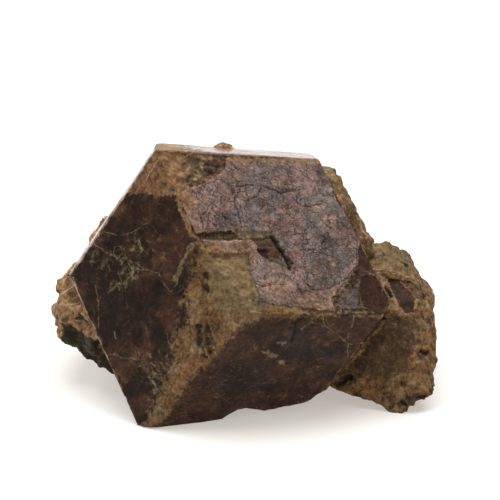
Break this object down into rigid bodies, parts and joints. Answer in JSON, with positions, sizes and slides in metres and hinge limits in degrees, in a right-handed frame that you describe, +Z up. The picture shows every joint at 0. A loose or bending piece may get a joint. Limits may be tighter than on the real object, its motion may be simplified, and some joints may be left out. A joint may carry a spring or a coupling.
{
  "type": "garnet crystal",
  "caption": "Garnet specimen: a large rhombic dodecahedron with a smaller garnet grown into one side and rough matrix on its left side and back.",
  "frame": {"origin": "under the middle of the stone's bounding box, on the ground it stands on", "axes": "+Z up, +X toward the smaller garnet on the right, -Y toward the front faces of the large garnet"},
  "size_m": [0.0619, 0.0488, 0.0406],
  "materials": {
    "garnet_stone": "satin"
  },
  "bodies": {
    "root": {"garnet_crystal": "garnet_stone"}
  },
  "joints": []
}
